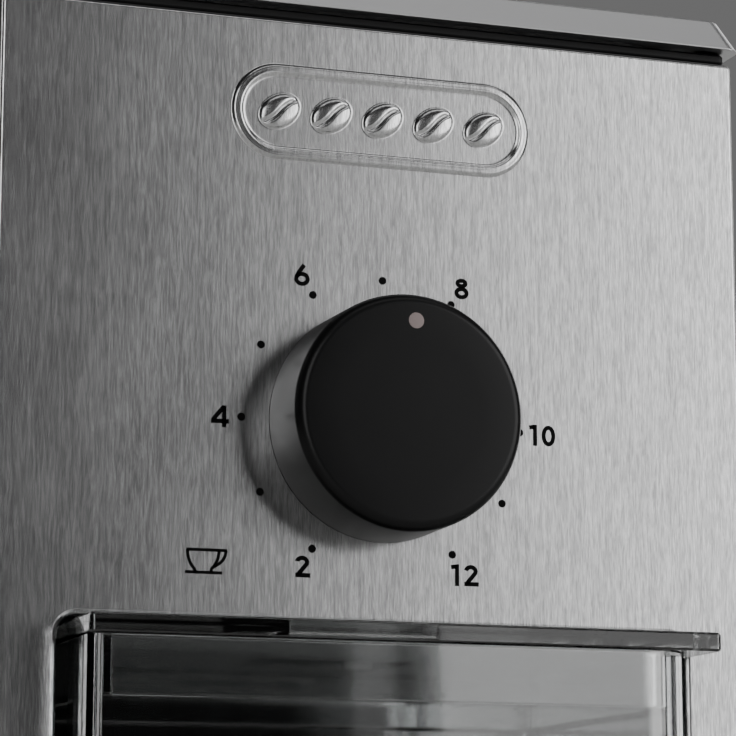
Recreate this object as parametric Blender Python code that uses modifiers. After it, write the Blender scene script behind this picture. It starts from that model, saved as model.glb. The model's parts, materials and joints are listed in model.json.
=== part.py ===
"""Burr coffee grinder with a cup dial, a fineness dial, a bean hopper and a clear grounds container.

X is across the front, -Y is the front, +Z is up, and the feet stand on z = 0.
Every length below is in millimetres. Meshes are scaled to metres as they are made.
"""

import math

import bmesh
import bpy
import numpy as np
from mathutils import Matrix, Vector

TO_METRES = 0.001
GAP = 0.3  # between pieces that touch
MERGE = 0.00001

# The outside
HALF_WIDTH = 65.0
REAR_Y = 79.0
PANEL_Y = -65.0  # the steel front's face
PANEL_TOP = 250.0
PANEL_HALF = 64.6
SHEET = 0.8
HOUSING_FRONT = -63.9
HOUSING_BOTTOM = 3.8
WALL = 2.5
REAR_CORNER = 14.0
TOP = 260.0
FEET = {
    "front_left": (-51.0, -51.0),
    "front_right": (51.0, -51.0),
    "rear_right": (51.0, 64.0),
    "rear_left": (-51.0, 64.0),
}

# The cup dial on the front
DIAL_Z = 182.3
KNOB_RADIUS = 19.4
KNOB_FACE_RADIUS = 19.2
KNOB_FRONT = -80.0
KNOB_BACK = -65.4
MARKER_ANGLE = math.radians(87.3)
MARKER_REACH = 14.7
MARKER_RADIUS = 1.33
TIMER_SHAFT_RADIUS = 3.0
TIMER_SCREW_X = 10.0
BADGE_Z = DIAL_Z + 51.4

# The recess in the front and what slides into it
OPENING_HALF = 53.5
OPENING_BOTTOM, OPENING_TOP = 15.5, 149.5
OPENING_CORNER = 3.0
BAY_HALF = 53.0
BAY_WALL = 2.0
BAY_BACK = -7.0
BIN_LEFT, BIN_RIGHT = -51.9, 49.5
BIN_FRONT, BIN_BACK = -80.0, -9.0
BIN_BOTTOM, BIN_TOP = 16.0, 145.4
BIN_WALL = 2.0
LID_PLATE = 3.1
LID_RIGHT = 53.5

# The bean hopper
THROAT_Z, THROAT_RADIUS = 213.0, 30.6
FUNNEL_X, FUNNEL_Y = 57.5, (-57.0, 71.5)
FUNNEL_WALL = 2.0
COVER_HALF, COVER_FRONT = 66.7, -66.2  # the hopper's lid stands out over the casing

# The burrs stand over (0, BURR_Y) and the motor over (0, MOTOR_Y)
BURR_Y = 12.0
MOTOR_Y = 50.0
BURR_GROOVES = 18
PINION_TEETH, WHEEL_TEETH = 12, 64
GEAR_MODULE = (MOTOR_Y - BURR_Y) * 2 / (PINION_TEETH + WHEEL_TEETH)
GEAR_LOW, GEAR_HIGH = 160.0, 168.0
CHASSIS_LOW, CHASSIS_HIGH = 152.0, 155.5
CHAMBER_INNER, CHAMBER_OUTER = 30.0, 33.0
CHAMBER_FLOOR, CHAMBER_TOP = 174.6, 203.0
CHUTE_Y = (-38.0, -25.0)
LEDGES = (6.0, 60.0)  # how far back the casing's ledges for the gearbox plate are
MOTOR_RADIUS = 25.0
MOTOR_LOW, MOTOR_HIGH = 66.0, 151.4

# The fineness dial on the left side, its pinion and the toothed ring
FINENESS_Z = 198.0
RING_PITCH, RING_LOW, RING_HIGH = 44.0, 206.2, 209.2
RING_TEETH, DIAL_TEETH = 88, 14
SECTOR_TEETH = 21
DIAL_POCKET_RADIUS = 16.5

# The start button on the right side
BUTTON_Y, BUTTON_Z = -30.0, 165.0
BUTTON_RADIUS = 8.0

# The safety pin that the container pushes back
PIN_X, PIN_Z = 30.0, 118.0

# The circuit board and the cord's gland
BOARD_X, BOARD_Z = (-44.0, 18.0), (60.0, 132.0)
GLAND_X, GLAND_Z = -38.0, 20.0

FINISHES = {  # colour, roughness, metallic
    "steel": ((0.60, 0.60, 0.61), 0.30, 1.0),
    "black_plastic": ((0.020, 0.020, 0.021), 0.45, 0.0),
    "soft_black": ((0.030, 0.030, 0.031), 0.60, 0.0),
    "marker": ((0.42, 0.36, 0.35), 0.50, 0.0),
    "clear_plastic": ((0.85, 0.88, 0.88), 0.05, 0.0),
    "lid_plastic": ((0.55, 0.56, 0.57), 0.20, 0.0),
    "grey_plastic": ((0.22, 0.22, 0.23), 0.50, 0.0),
    "burr_steel": ((0.45, 0.45, 0.46), 0.35, 1.0),
    "bright_steel": ((0.70, 0.70, 0.71), 0.25, 1.0),
    "zinc": ((0.55, 0.56, 0.57), 0.40, 1.0),
    "brass": ((0.70, 0.52, 0.22), 0.30, 1.0),
    "copper": ((0.72, 0.36, 0.20), 0.35, 1.0),
    "white_nylon": ((0.80, 0.79, 0.74), 0.45, 0.0),
    "rubber": ((0.030, 0.030, 0.030), 0.85, 0.0),
    "board_green": ((0.03, 0.20, 0.09), 0.50, 0.0),
    "carbon": ((0.05, 0.05, 0.05), 0.55, 0.2),
}


def clear_scene():
    for old in list(bpy.data.objects):
        bpy.data.objects.remove(old, do_unlink=True)


def new_collection(name):
    group = bpy.data.collections.new(name)
    bpy.context.scene.collection.children.link(group)
    return group


def make_materials():
    made = {}
    for name, (colour, roughness, metallic) in FINISHES.items():
        material = bpy.data.materials.new(name)
        material.use_nodes = True
        surface = material.node_tree.nodes["Principled BSDF"]
        surface.inputs["Base Color"].default_value = (*colour, 1.0)
        surface.inputs["Roughness"].default_value = roughness
        surface.inputs["Metallic"].default_value = metallic
        material.diffuse_color = (*colour, 1.0)
        made[name] = material
    return made


clear_scene()
PARTS = new_collection("burr_coffee_grinder")
CUTTERS = new_collection("cutters")
MATERIALS = make_materials()


# Shapes ---------------------------------------------------------------------


def shape():
    return bmesh.new()


def add_box(bm, x, y, z):
    """A box between the three (low, high) pairs."""
    made = bmesh.ops.create_cube(bm, size=1.0)["verts"]
    size = Vector((x[1] - x[0], y[1] - y[0], z[1] - z[0]))
    centre = Vector((x[0] + x[1], y[0] + y[1], z[0] + z[1])) / 2
    bmesh.ops.scale(bm, vec=size, verts=made)
    bmesh.ops.translate(bm, vec=centre, verts=made)
    return bm


def add_rod(bm, radius, start, end, segments=24, end_radius=None):
    """A cylinder, or a cone, from the point start to the point end."""
    start, end = Vector(start), Vector(end)
    along = end - start
    turn = Vector((0, 0, 1)).rotation_difference(along).to_matrix().to_4x4()
    bmesh.ops.create_cone(
        bm,
        cap_ends=True,
        segments=segments,
        radius1=radius,
        radius2=radius if end_radius is None else end_radius,
        depth=along.length,
        matrix=Matrix.Translation((start + end) / 2) @ turn,
    )
    return bm


def add_prism(bm, outline, low, high):
    """A flat outline in X and Y, raised from low to high."""
    corners = [bm.verts.new((x, y, low)) for x, y in outline]
    face = bm.faces.new(corners)
    raised = bmesh.ops.extrude_face_region(bm, geom=[face])["geom"]
    top = [item for item in raised if isinstance(item, bmesh.types.BMVert)]
    bmesh.ops.translate(bm, vec=(0, 0, high - low), verts=top)
    return bm


def add_loft(bm, loops, closed=False):
    """A skin over loops with equally many points. Its ends are capped unless the last meets the first."""
    rows = [[bm.verts.new(point) for point in loop] for loop in loops]
    pairs = list(zip(rows, rows[1:]))
    if closed:
        pairs.append((rows[-1], rows[0]))
    else:
        bm.faces.new(rows[0])
        bm.faces.new(rows[-1])
    for low, high in pairs:
        for i, corner in enumerate(low):
            bm.faces.new((corner, low[i - 1], high[i - 1], high[i]))
    return bm


def finish(bm, name, finish_name, collection=None):
    """Makes the object: outward normals, metres, one material."""
    bmesh.ops.recalc_face_normals(bm, faces=bm.faces)
    bmesh.ops.scale(bm, vec=Vector((1, 1, 1)) * TO_METRES, verts=bm.verts)
    mesh = bpy.data.meshes.new(name)
    bm.to_mesh(mesh)
    bm.free()
    made = bpy.data.objects.new(name, mesh)
    (collection or PARTS).objects.link(made)
    if finish_name:
        mesh.materials.append(MATERIALS[finish_name])
    return made


def turned(name, finish_name, profile, at=(0, 0, 0), axis="Z", steps=32):
    """A profile of (radius, height) points, turned once around the axis through at.
    The height runs along +Z, or along -Y where axis is "Y"."""
    bm = shape()
    points = [bm.verts.new((radius, 0, height)) for radius, height in profile]
    for a, b in zip(points, points[1:]):
        bm.edges.new((a, b))
    if profile[0][0] > 0 or profile[-1][0] > 0:
        bm.edges.new((points[-1], points[0]))
    bmesh.ops.scale(bm, vec=Vector((1, 1, 1)) * TO_METRES, verts=bm.verts)
    mesh = bpy.data.meshes.new(name)
    bm.to_mesh(mesh)
    bm.free()
    made = bpy.data.objects.new(name, mesh)
    PARTS.objects.link(made)
    mesh.materials.append(MATERIALS[finish_name])
    made.location = Vector(at) * TO_METRES
    made.rotation_euler = (math.pi / 2 if axis == "Y" else 0, 0, 0)
    screw = made.modifiers.new("turn", "SCREW")
    screw.steps = screw.render_steps = steps
    screw.use_merge_vertices = True
    screw.merge_threshold = MERGE
    screw.use_normal_calculate = False
    return made


def boolean(target, other, operation):
    other.hide_render = True
    other.display_type = "WIRE"
    step = target.modifiers.new(operation.lower() + "_" + other.name, "BOOLEAN")
    step.operation = operation
    step.solver = "EXACT"
    step.object = other
    return target


def cut(target, bm):
    """Takes the shape away from the target. Its separate solids must not overlap."""
    name = f"{target.name}_cut_{len(target.modifiers)}"
    return boolean(target, finish(bm, name, None, CUTTERS), "DIFFERENCE")


def join(target, bm):
    """Adds the shape to the target. Each of its solids must overlap the target."""
    name = f"{target.name}_join_{len(target.modifiers)}"
    return boolean(target, finish(bm, name, None, CUTTERS), "UNION")


def hang(name, at, *objects):
    """Parents a moving body's pieces to an empty on their joint's axis."""
    pivot = bpy.data.objects.new(name, None)
    pivot.location = Vector(at) * TO_METRES
    pivot.empty_display_size = 0.01
    PARTS.objects.link(pivot)
    for piece in objects:
        piece.parent = pivot
        piece.matrix_parent_inverse = Matrix.Translation(-pivot.location)


# Outlines -------------------------------------------------------------------


def arc(centre, radius, start, end, steps):
    """Points of an arc, with its angles in degrees."""
    angles = np.radians(np.linspace(start, end, steps + 1))
    return [(centre[0] + radius * math.cos(a), centre[1] + radius * math.sin(a)) for a in angles]


def rounded(x, y, corners, steps=4, straight=1):
    """A rectangle with round corners, anticlockwise from the front right. corners is one
    radius, or four: front right, rear right, rear left, front left."""
    if not isinstance(corners, tuple):
        corners = (corners,) * 4
    middles = (
        (x[1] - corners[0], y[0] + corners[0]),
        (x[1] - corners[1], y[1] - corners[1]),
        (x[0] + corners[2], y[1] - corners[2]),
        (x[0] + corners[3], y[0] + corners[3]),
    )
    points = []
    for i, (middle, radius) in enumerate(zip(middles, corners)):
        bend = arc(middle, radius, 90 * i - 90, 90 * i, steps)
        if points:
            points += between(points[-1], bend[0], straight)
        points += bend
    return points + between(points[-1], points[0], straight)


def between(start, end, count):
    """The points that divide a straight run into count equal parts, without its ends."""
    return [
        (start[0] + (end[0] - start[0]) * i / count, start[1] + (end[1] - start[1]) * i / count)
        for i in range(1, count)
    ]


def at_height(outline, z):
    return [(x, y, z) for x, y in outline]


def ring_through(outline, centre, radius, z):
    """The circle's points in the directions of the outline's points."""
    found = []
    for x, y in outline:
        angle = math.atan2(y - centre[1], x - centre[0])
        found.append((centre[0] + radius * math.cos(angle), centre[1] + radius * math.sin(angle), z))
    return found


def involute_gear(teeth, module, centre, phase, backlash=0.08, pressure=25.0, steps=3):
    """The outline of a spur gear. phase turns it, in degrees, and 0 puts a tooth on +X."""
    pressure = math.radians(pressure)
    pitch = teeth * module / 2
    base = pitch * math.cos(pressure)
    tip = pitch + 0.95 * module
    root = pitch - 1.2 * module
    half_tooth = math.pi / (2 * teeth) - backlash / pitch
    roll = math.tan(pressure) - pressure  # the involute's angle at the pitch circle
    low = max(base, root + 0.05)
    flank = []
    for radius in np.linspace(low, tip, steps + 1):
        lean = math.acos(base / radius)
        flank.append((radius, half_tooth + roll - (math.tan(lean) - lean)))
    flank.insert(0, (root, flank[0][1]))
    outline = []
    for i in range(teeth):
        middle = 2 * math.pi * i / teeth + math.radians(phase)
        side = [(radius, middle - half) for radius, half in flank]
        side += [(radius, middle + half) for radius, half in reversed(flank)]
        outline += [(centre[0] + r * math.cos(a), centre[1] + r * math.sin(a)) for r, a in side]
    return outline


# The casing -----------------------------------------------------------------


def body_outline(inset=0.0, steps=8, straight=1):
    """The casing seen from above: tight corners at the front and round ones at the rear."""
    rear = REAR_CORNER - inset
    front = max(1.6 - inset, 0.6)
    x = (-HALF_WIDTH + inset, HALF_WIDTH - inset)
    return rounded(x, (HOUSING_FRONT + inset, REAR_Y - inset), (front, rear, rear, front), steps, straight)


def make_housing():
    bm = add_prism(shape(), body_outline(), HOUSING_BOTTOM, PANEL_TOP)
    housing = finish(bm, "main_housing", "black_plastic")
    inside = rounded(
        (-HALF_WIDTH + WALL, HALF_WIDTH - WALL),
        (HOUSING_FRONT - 10, REAR_Y - WALL),
        (0.5, REAR_CORNER - WALL, REAR_CORNER - WALL, 0.5),
    )
    cut(housing, add_prism(shape(), inside, HOUSING_BOTTOM - 5, PANEL_TOP + 5))
    inner = HALF_WIDTH - WALL
    beams = add_box(shape(), (-inner - 1, inner + 1), (HOUSING_FRONT, -61.6), (244.0, PANEL_TOP))
    add_box(beams, (-inner - 1, inner + 1), (HOUSING_FRONT, -61.6), (6.6, 13.2))
    for side in (-1, 1):
        for y in LEDGES:
            x = sorted((side * 54.0, side * (inner + 1)))
            add_box(beams, x, (y - 6, y + 6), (140.0, CHASSIS_LOW - GAP))
    join(housing, beams)
    pocket = (-HALF_WIDTH + 0.2, BURR_Y, FINENESS_Z)
    join(housing, add_rod(shape(), DIAL_POCKET_RADIUS + 2, pocket, (-54.0, *pocket[1:]), 32))
    holes = add_rod(shape(), DIAL_POCKET_RADIUS, (-70, *pocket[1:]), (-56.0, *pocket[1:]), 32)
    cut(housing, holes)
    holes = add_rod(shape(), 3.4, (-57, *pocket[1:]), (-50.0, *pocket[1:]), 16)
    add_rod(holes, BUTTON_RADIUS + GAP, (55, BUTTON_Y, BUTTON_Z), (70, BUTTON_Y, BUTTON_Z), 32)
    add_rod(holes, 5.2, (GLAND_X, 70, GLAND_Z), (GLAND_X, 90, GLAND_Z), 24)
    for i in range(6):
        z = 56.0 + 8.0 * i
        add_box(holes, (-24.0, 24.0), (70.0, 90.0), (z, z + 3.2))
    for side in (-1, 1):
        for y in LEDGES:
            add_rod(holes, 1.5, (side * 58.0, y, 141.5), (side * 58.0, y, 160.0), 12)
    cut(housing, holes)


def make_base_plate():
    outline = rounded((-62.0, 62.0), (-60.0, 76.0), (3, 11, 11, 3))
    plate = finish(add_prism(shape(), outline, 4.0, 6.4), "base_plate", "black_plastic")
    vents = shape()
    for i in range(7):
        x = 9.0 * (i - 3)
        add_box(vents, (x - 1.6, x + 1.6), (MOTOR_Y - 16, MOTOR_Y + 12), (3.0, 8.0))
    cut(plate, vents)
    sockets = shape()
    for x, y in FEET.values():
        add_rod(sockets, 2.6, (x, y, 3.0), (x, y, 8.0), 16)
    cut(plate, sockets)
    for name, (x, y) in FEET.items():
        profile = [(0, 8.6), (1.9, 8.6), (3.3, 7.5), (3.3, 6.7), (2.3, 6.7), (2.3, 3.7)]
        profile += [(7.6, 3.7), (7.6, 0.9), (6.8, 0.0), (0, 0)]
        turned("rubber_foot_" + name, "rubber", profile, (x, y, 0), steps=20)


def make_front_panel():
    """Sheet steel: a face, folded sides, a rolled edge round the recess and a pressed badge."""
    bm = add_box(shape(), (-PANEL_HALF, PANEL_HALF), (PANEL_Y, PANEL_Y + SHEET), (7.0, PANEL_TOP))
    panel = finish(bm, "front_panel", "steel")
    folds = shape()
    for side in (-1, 1):
        x = sorted((side * 61.3, side * 62.1))
        add_box(folds, x, (PANEL_Y + 0.3, -57.5), (20.0, 236.0))
    join(panel, folds)
    x = (-OPENING_HALF - SHEET, OPENING_HALF + SHEET)
    z = (OPENING_BOTTOM - SHEET, OPENING_TOP + SHEET)
    join(panel, upright_prism(rounded(x, z, OPENING_CORNER + SHEET), PANEL_Y + 0.3, -61.8))
    x = (-OPENING_HALF, OPENING_HALF)
    z = (OPENING_BOTTOM, OPENING_TOP)
    opening = upright_prism(rounded(x, z, OPENING_CORNER), PANEL_Y - 2, -58.0)
    add_rod(opening, 4.2, (0, PANEL_Y - 2, DIAL_Z), (0, PANEL_Y + 3, DIAL_Z), 20)
    for side in (-1, 1):
        x = side * TIMER_SCREW_X
        add_rod(opening, 1.7, (x, PANEL_Y - 2, DIAL_Z), (x, PANEL_Y + 3, DIAL_Z), 12)
    cut(panel, opening)
    badge = rounded((-26.3, 26.3), (BADGE_Z - 8.25, BADGE_Z + 8.25), 8.2, steps=8)
    join(panel, upright_prism(badge, PANEL_Y - 0.5, PANEL_Y + 0.3))
    floor = rounded((-24.4, 24.4), (BADGE_Z - 6.35, BADGE_Z + 6.35), 6.3, steps=8)
    cut(panel, upright_prism(floor, PANEL_Y - 2, PANEL_Y))


def upright_prism(outline, low, high):
    """An outline in X and Z, running from y = low to y = high."""
    bm = add_prism(shape(), outline, -high, -low)
    bmesh.ops.rotate(bm, cent=(0, 0, 0), matrix=Matrix.Rotation(math.pi / 2, 3, "X"), verts=bm.verts)
    return bm


def make_bay():
    x, z = (-BAY_HALF, BAY_HALF), (OPENING_BOTTOM, OPENING_TOP)
    outer_x, outer_z = (x[0] - BAY_WALL, x[1] + BAY_WALL), (z[0] - BAY_WALL, z[1] + BAY_WALL)
    rear = BAY_BACK + BAY_WALL
    bm = upright_prism(rounded(outer_x, outer_z, OPENING_CORNER + BAY_WALL), -61.4, rear)
    bay = finish(bm, "container_bay", "black_plastic")
    cut(bay, upright_prism(rounded(x, z, OPENING_CORNER), -66.0, BAY_BACK))
    holes = add_box(shape(), (-10.6, 10.6), (CHUTE_Y[0] - 0.6, CHUTE_Y[1] + 0.6), (148.0, 153.0))
    add_rod(holes, 2.6, (PIN_X, -10, PIN_Z), (PIN_X, 0, PIN_Z), 16)
    cut(bay, holes)
    posts = shape()
    for px in (BOARD_X[0] + 4, BOARD_X[1] - 4):
        for pz in (BOARD_Z[0] + 4, BOARD_Z[1] - 4):
            add_rod(posts, 2.5, (px, rear - 1, pz), (px, -GAP, pz), 12)
    join(bay, posts)


# The container and its lid --------------------------------------------------


def bin_outline(inset=0.0):
    """Square on the left, and with a broad round corner at the front right for the fingers."""
    return rounded(
        (BIN_LEFT + inset, BIN_RIGHT - inset),
        (BIN_FRONT + inset, BIN_BACK - inset),
        (9.5 - inset, 4.0 - inset, 4.0 - inset, max(2.2 - inset, 0.4)),
        steps=5,
    )


def make_container():
    bm = add_loft(
        shape(),
        [
            at_height(bin_outline(BIN_WALL), BIN_BOTTOM + BIN_WALL),
            at_height(bin_outline(BIN_WALL), BIN_TOP),
            at_height(bin_outline(), BIN_TOP),
            at_height(bin_outline(), BIN_BOTTOM + 2.5),
            at_height(bin_outline(0.7), BIN_BOTTOM + 0.8),
            at_height(bin_outline(1.8), BIN_BOTTOM),
        ],
    )
    return finish(bm, "grounds_container", "clear_plastic")


def make_container_lid():
    low = BIN_TOP + 0.2
    plate = rounded((BIN_LEFT, -BIN_LEFT), (BIN_FRONT, BIN_BACK), (1.0, 4.0, 4.0, 1.0), steps=3)
    lid = finish(add_prism(shape(), plate, low, low + LID_PLATE), "container_lid", "clear_plastic")
    tab = rounded((LID_RIGHT - 5, LID_RIGHT), (BIN_FRONT, PANEL_Y - 1.5), (1.0, 1.0, 0.3, 0.3), steps=3)
    join(lid, add_prism(shape(), tab, low, low + LID_PLATE))
    outer, inner = bin_outline(BIN_WALL + GAP), bin_outline(BIN_WALL + 2.0)
    depth = DIAL_Z - 46.0
    loops = [at_height(inner, low + 1), at_height(inner, depth)]
    loops += [at_height(outer, depth), at_height(outer, low + 1)]
    join(lid, add_loft(shape(), loops, closed=True))
    inlet = add_box(shape(), (-13.0, 13.0), (CHUTE_Y[0] - 3, CHUTE_Y[1] + 3), (low - 2, low + 6))
    cut(lid, inlet)
    return lid


# The hopper and its lid -----------------------------------------------------

def make_hopper():
    """A funnel from a wide rectangular mouth to a round throat, with a flange on the casing."""
    wall, steps, straight = FUNNEL_WALL, 7, 4
    mouth = rounded((-FUNNEL_X, FUNNEL_X), FUNNEL_Y, 11.0, steps, straight)
    wide_y = (FUNNEL_Y[0] - wall, FUNNEL_Y[1] + wall)
    wide = rounded((-FUNNEL_X - wall, FUNNEL_X + wall), wide_y, 11.0 + wall, steps, straight)
    rim = body_outline(0.5, steps, straight)
    inside = [ring_through(mouth, (0, BURR_Y), THROAT_RADIUS, z) for z in (THROAT_Z - 6.4, THROAT_Z)]
    outside = [
        ring_through(mouth, (0, BURR_Y), THROAT_RADIUS + 2.2, z) for z in (THROAT_Z - 1.5, THROAT_Z - 6.4)
    ]
    loops = [*inside, at_height(mouth, 247.0), at_height(mouth, 252.0), at_height(rim, 252.0)]
    loops += [at_height(rim, PANEL_TOP + GAP), at_height(wide, PANEL_TOP + GAP), at_height(wide, 245.5)]
    finish(add_loft(shape(), loops + outside, closed=True), "bean_hopper", "black_plastic")


def lid_loop(inset, z, front_inset=None):
    x = (-COVER_HALF + inset, COVER_HALF - inset)
    y = (COVER_FRONT + (inset if front_inset is None else front_inset), REAR_Y - inset)
    rear = REAR_CORNER - min(inset, 9.0)
    return at_height(rounded(x, y, (3, rear, rear, 3), steps=8), z)


def make_hopper_lid():
    x, y = FUNNEL_X - 0.7, (FUNNEL_Y[0] + 0.7, FUNNEL_Y[1] - 0.7)
    plug = rounded((-x, x), y, 10.3, steps=8)
    core = rounded((-x + 2, x - 2), (y[0] + 2, y[1] - 2), 8.3, steps=8)
    bm = add_loft(
        shape(),
        [
            at_height(core, 256.6),
            at_height(core, 247.4),
            at_height(plug, 247.4),
            at_height(plug, 255.2),
            lid_loop(2.4, 255.2),
            lid_loop(2.4, 252.2),
            lid_loop(0.0, 252.2),
            lid_loop(2.8, 257.7, 2.1),
            lid_loop(10.0, 258.5),
            lid_loop(13.0, TOP),
        ],
    )
    return finish(bm, "hopper_lid", "lid_plastic")


def make_hopper_gasket():
    inner, outer = CHAMBER_INNER + 3.1, CHAMBER_INNER + 6.2
    profile = [(outer, THROAT_Z - 2.7), (outer, THROAT_Z - 5.0 + GAP), (inner, THROAT_Z - 5.0 + GAP)]
    turned("hopper_gasket", "rubber", profile + [(inner, THROAT_Z - 2.7)], (0, BURR_Y, 0))


# The burrs ------------------------------------------------------------------


def make_chamber():
    """The cup that the burrs run in, with a window at the front where the grounds leave."""
    inner, outer, floor = CHAMBER_INNER, CHAMBER_OUTER, CHAMBER_FLOOR
    profile = [(outer, CHAMBER_TOP), (outer, floor), (7.0, floor), (7.0, floor + 3)]
    profile += [(inner, floor + 3), (inner, CHAMBER_TOP)]
    chamber = turned("grinding_chamber", "grey_plastic", profile, (0, BURR_Y, 0), steps=40)
    window = add_box(shape(), (-8.5, 8.5), (-30.0, -10.0), (floor + 3.2, floor + 12.0))
    cut(chamber, window)
    lugs = shape()
    for side in (-1, 1):
        x = sorted((side * 32.0, side * 41.0))
        add_box(lugs, x, (BURR_Y - 4, BURR_Y + 4), (floor, floor + 5))
    join(chamber, lugs)


def make_lower_burr():
    bm = add_rod(shape(), 27.5, (0, BURR_Y, 179.0), (0, BURR_Y, 184.5), 32)
    carrier = finish(bm, "lower_burr_carrier", "grey_plastic")
    vanes = shape()
    for i in range(3):
        add_box(vanes, (25.0, 29.3), (-1.2, 1.2), (178.2, 183.6))
        turn_verts(vanes, vanes.verts[-8:], 120 * i + 20, (0, BURR_Y))
    join(carrier, vanes)
    cut(carrier, add_rod(shape(), 4.1, (0, BURR_Y, 175), (0, BURR_Y, 190), 20))
    burr = burr_ring("lower_burr", 184.8, 191.6, 1)
    return carrier, burr


def turn_verts(bm, verts, degrees, centre):
    """Moves new geometry made round the origin to its place round the centre."""
    turn = Matrix.Rotation(math.radians(degrees), 3, "Z")
    bmesh.ops.rotate(bm, cent=(0, 0, 0), matrix=turn, verts=verts)
    bmesh.ops.translate(bm, vec=(*centre, 0), verts=verts)


def burr_ring(name, low, high, up):
    """A ring burr with radial grooves on the face that cuts. up is 1 where that face is the top."""
    face, back = (high, low) if up > 0 else (low, high)
    inner, outer, lip = 11.0, 25.0, 2.2 * up
    profile = [(outer, face), (outer, back), (inner, back), (inner, face - lip), (17.0, face)]
    if up < 0:
        profile.reverse()
    burr = turned(name, "burr_steel", profile, (0, BURR_Y, 0), steps=36)
    grooves = shape()
    for i in range(BURR_GROOVES):
        z = sorted((face - 1.0 * up, face + 2.0 * up))
        add_box(grooves, (9.0, 27.0), (-0.45, 0.45), z)
        turn_verts(grooves, grooves.verts[-8:], 360 / BURR_GROOVES * i + 4, (0, BURR_Y))
    return cut(burr, grooves)


def make_upper_burr():
    burr = burr_ring("upper_burr", 192.3, 198.0, -1)
    profile = [(27.5, 204.6), (27.5, 198.3), (15.0, 198.3), (15.0, 201.0), (24.5, 201.0), (24.5, 204.6)]
    carrier = turned("upper_burr_carrier", "grey_plastic", profile, (0, BURR_Y, 0), steps=32)
    y = (BURR_Y - 1.4, BURR_Y + 1.4)
    join(carrier, add_box(shape(), (-25.5, 25.5), y, (201.6, 204.4)))
    join(carrier, add_box(shape(), (-14.0, 14.0), y, (203.0, 215.0)))
    lugs = shape()
    for i in range(3):
        add_box(lugs, (26.0, 33.0), (-2.5, 2.5), (CHAMBER_TOP + 0.5, 204.6))
        turn_verts(lugs, lugs.verts[-8:], 120 * i + 90, (0, BURR_Y))
    join(carrier, lugs)
    return burr, carrier


def make_adjust_ring():
    """Turned by the fineness dial through the teeth under its left side."""
    profile = [(RING_PITCH + 3, RING_HIGH), (RING_PITCH + 3, RING_LOW), (34.4, RING_LOW)]
    profile += [(34.4, 203.6), (33.4, 203.6), (33.4, RING_HIGH - 1.2)]
    profile += [(37.0, RING_HIGH - 1.2), (37.0, RING_HIGH)]
    ring = turned("adjust_ring", "white_nylon", profile, (0, BURR_Y, 0), steps=44)
    teeth = shape()
    for i in range(SECTOR_TEETH):
        step = i - (SECTOR_TEETH - 1) / 2
        tooth = bmesh.ops.create_cube(teeth, size=1.0)["verts"]
        for corner in tooth:
            tip = corner.co.z < 0
            corner.co.x = -RING_PITCH + corner.co.x * 5.6
            corner.co.y *= 2 * (0.28 if tip else 1.30)
            corner.co.z = RING_LOW + (-1.9 if tip else 0.3)
        turn_verts(teeth, tooth, 360 / RING_TEETH * step, (0, BURR_Y))
    join(ring, teeth)
    return ring


def make_fineness_dial():
    axis = (BURR_Y, FINENESS_Z)
    bm = add_rod(shape(), 15.6, (-64.8, *axis), (-59.0, *axis), 32, end_radius=16.0)
    dial = finish(bm, "fineness_dial", "soft_black")
    cheeks = shape()
    for side in (-1, 1):
        y = sorted((axis[0] + side * 3.0, axis[0] + side * 20.0))
        add_box(cheeks, (-68.0, -61.4), y, (FINENESS_Z - 20, FINENESS_Z + 20))
    cut(dial, cheeks)
    cut(dial, add_rod(shape(), 2.6, (-63.0, *axis), (-50.0, *axis), 16))
    gear = involute_gear(DIAL_TEETH, 1.0, (0, 0), 180 / DIAL_TEETH, backlash=0.16, steps=2)
    bm = add_prism(shape(), gear, -RING_PITCH - 1.5, -RING_PITCH + 1.5)
    turn = Matrix.Rotation(math.pi / 2, 3, "Y")
    bmesh.ops.rotate(bm, cent=(0, 0, 0), matrix=turn, verts=bm.verts)
    bmesh.ops.translate(bm, vec=(0, *axis), verts=bm.verts)
    pinion = finish(bm, "fineness_pinion", "white_nylon")
    join(pinion, add_rod(shape(), 2.4, (-RING_PITCH, *axis), (-62.4, *axis), 16))
    return dial, pinion


# The drive ------------------------------------------------------------------


def make_chassis():
    outline = rounded((-62.0, 62.0), (-3.0, 75.6), (2, 10, 10, 2))
    plate = finish(add_prism(shape(), outline, CHASSIS_LOW, CHASSIS_HIGH), "gearbox_plate", "zinc")
    nose = rounded((-24.0, 24.0), (BURR_Y - 34, 10.0), (10, 0.5, 0.5, 10))
    join(plate, add_prism(shape(), nose, CHASSIS_LOW, CHASSIS_HIGH))
    holes = add_rod(shape(), 8.0, (0, BURR_Y, 150), (0, BURR_Y, 158), 24)
    add_rod(holes, 9.0, (0, MOTOR_Y, 150), (0, MOTOR_Y, 158), 24)
    for side in (-1, 1):
        for y in LEDGES:
            add_rod(holes, 1.7, (side * 58.0, y, 150), (side * 58.0, y, 158), 12)
    cut(plate, holes)
    names = iter(("left_front", "left_rear", "right_front", "right_rear"))
    for side in (-1, 1):
        for y in LEDGES:
            high = CHASSIS_HIGH + 0.3
            profile = [(0, high + 2.2), (2.2, high + 2.2), (3.0, high + 1.4), (3.0, high)]
            profile += [(1.3, high), (1.3, 144.0), (0, 142.6)]
            turned("plate_screw_" + next(names), "bright_steel", profile, (side * 58.0, y, 0), steps=12)


def make_gearbox_cover():
    """Shaped round the wheel and the pinion, and it carries the burr shaft's upper bearing."""
    low, high = CHASSIS_HIGH + GAP, CHAMBER_FLOOR - GAP
    cover = finish(add_prism(shape(), pulley(36.4, 10.6), low, high), "gearbox_cover", "grey_plastic")
    cut(cover, add_prism(shape(), pulley(34.2, 8.6), low - 3, 169.8))
    hole = add_rod(shape(), 6.3, (0, BURR_Y, 165), (0, BURR_Y, 180), 24)
    cut(cover, hole)


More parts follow.
